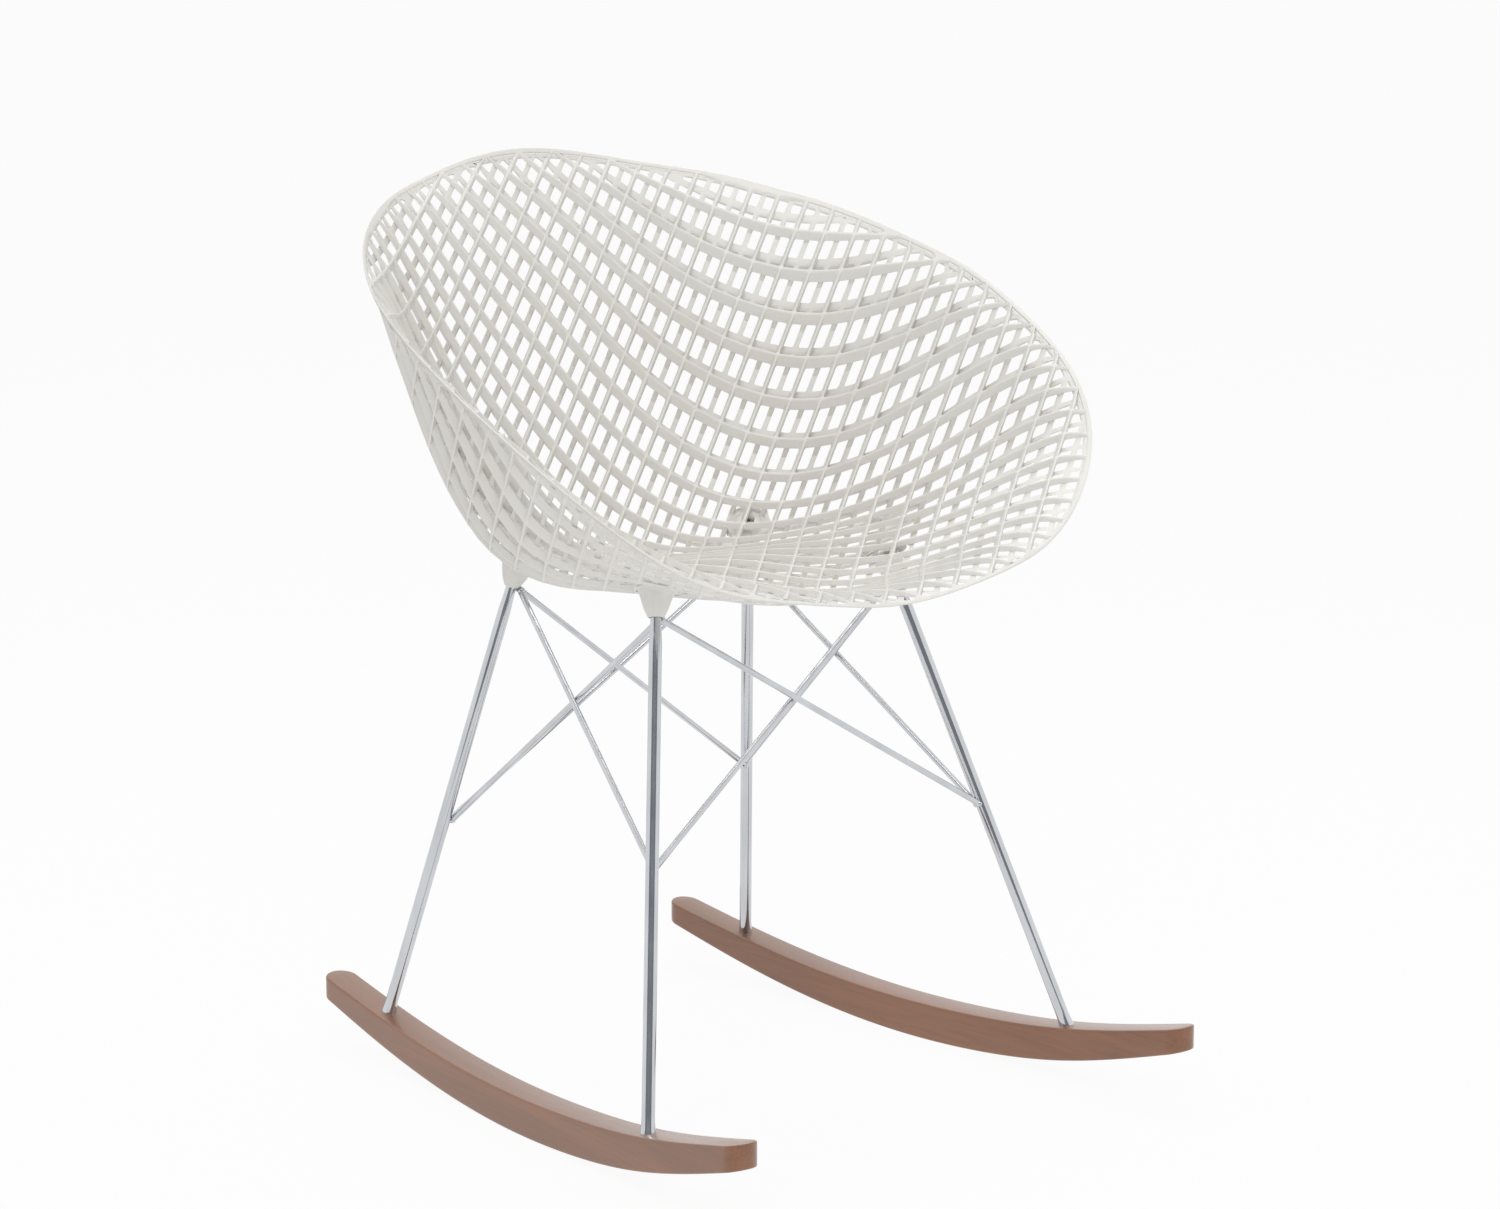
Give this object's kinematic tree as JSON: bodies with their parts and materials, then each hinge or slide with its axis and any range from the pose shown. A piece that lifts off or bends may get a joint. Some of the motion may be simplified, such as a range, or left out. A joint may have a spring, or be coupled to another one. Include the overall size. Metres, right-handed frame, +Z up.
{
  "type": "rocking chair",
  "caption": "Rocking chair with a moulded openwork bucket shell on a braced rod base with wooden rockers.",
  "frame": {"origin": "bottom centre of the chair's bounding box: on the floor, midway between the rockers and midway along them", "axes": "+X to the sitter's left, -Y to the chair's front, +Z up"},
  "size_m": [0.625, 0.6324, 0.7788],
  "materials": {
    "shell": "satin moulded plastic, warm white",
    "chrome": "bright chromed steel rod",
    "wood": "brown stained hardwood, clear satin",
    "steel": "plain steel fasteners"
  },
  "bodies": {
    "root": {"shell_front_layer": "shell", "shell_back_layer": "shell", "shell_socket_front_left": "shell", "shell_socket_front_right": "shell", "shell_socket_rear_left": "shell", "shell_socket_rear_right": "shell", "leg_front_left": "chrome", "leg_front_right": "chrome", "leg_rear_left": "chrome", "leg_rear_right": "chrome", "brace_left_from_rear": "chrome", "brace_left_from_front": "chrome", "brace_right_from_rear": "chrome", "brace_right_from_front": "chrome", "brace_front_from_left": "chrome", "brace_front_from_right": "chrome", "brace_rear_from_left": "chrome", "brace_rear_from_right": "chrome", "rocker_left": "wood", "rocker_right": "wood", "seat_screw_front_left": "steel", "seat_screw_front_right": "steel", "seat_screw_rear_left": "steel", "seat_screw_rear_right": "steel", "seat_washer_front_left": "steel", "seat_washer_front_right": "steel", "seat_washer_rear_left": "steel", "seat_washer_rear_right": "steel", "rocker_screw_front_left": "steel", "rocker_screw_front_right": "steel", "rocker_screw_rear_left": "steel", "rocker_screw_rear_right": "steel", "rocker_washer_front_left": "steel", "rocker_washer_front_right": "steel", "rocker_washer_rear_left": "steel", "rocker_washer_rear_right": "steel"}
  },
  "joints": []
}
